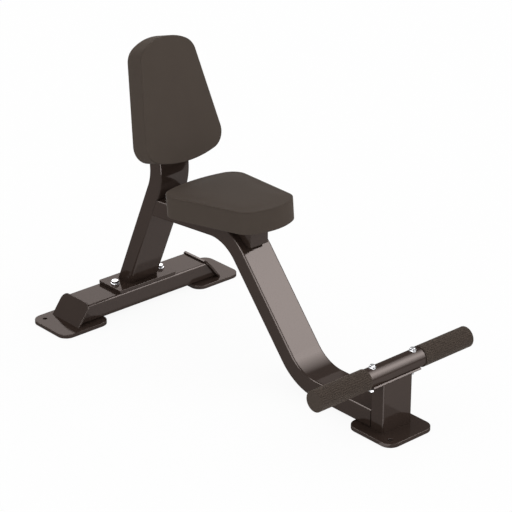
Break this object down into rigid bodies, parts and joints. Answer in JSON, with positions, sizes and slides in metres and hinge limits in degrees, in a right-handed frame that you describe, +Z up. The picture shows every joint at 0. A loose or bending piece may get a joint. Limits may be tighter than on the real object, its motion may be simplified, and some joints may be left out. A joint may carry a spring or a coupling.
{
  "type": "utility bench with foot bar",
  "caption": "Fixed upright gym bench: padded seat and reclined backrest on a bent rectangular-tube spine, with a bolted gripped foot bar at the front and bolt-down floor plates.",
  "frame": {"origin": "on the floor, under the middle of the overall box", "axes": "+Z up, the user sits facing -Y, +X towards the user's left hand"},
  "size_m": [0.634, 1.166, 0.812],
  "materials": {
    "frame_paint": "gloss dark brown-grey powder coat",
    "zinc": "bright zinc-plated steel",
    "grip_rubber": "matte ribbed rubber",
    "vinyl": "smooth satin upholstery vinyl over foam",
    "plywood": "plain plywood",
    "cap_plastic": "dark moulded plastic"
  },
  "bodies": {
    "root": {"rear_crossbeam": "frame_paint", "crossbeam_end_plate_left": "frame_paint", "crossbeam_end_plate_right": "frame_paint", "rear_foot_plate_left": "frame_paint", "rear_foot_plate_right": "frame_paint", "front_foot_plate": "frame_paint", "upright_base_flange": "frame_paint", "upright": "frame_paint", "spine": "frame_paint", "front_post": "frame_paint", "foot_bar_cradle": "frame_paint", "foot_bar": "frame_paint", "seat_riser": "frame_paint", "seat_mounting_plate": "frame_paint", "flange_washers": "zinc", "flange_bolts": "zinc", "flange_weld_nuts": "zinc", "foot_bar_saddle_washers": "zinc", "foot_bar_bolts": "zinc", "foot_bar_washers": "zinc", "foot_bar_nuts": "zinc", "seat_tee_nuts": "zinc", "seat_washers": "zinc", "seat_bolts": "zinc", "backrest_tee_nuts": "zinc", "backrest_washers": "zinc", "backrest_bolts": "zinc", "upright_top_cap": "cap_plastic", "foot_grip_left": "grip_rubber", "foot_grip_right": "grip_rubber", "seat_pad": "vinyl", "backrest_pad": "vinyl", "seat_board": "plywood", "backrest_board": "plywood"}
  },
  "joints": []
}
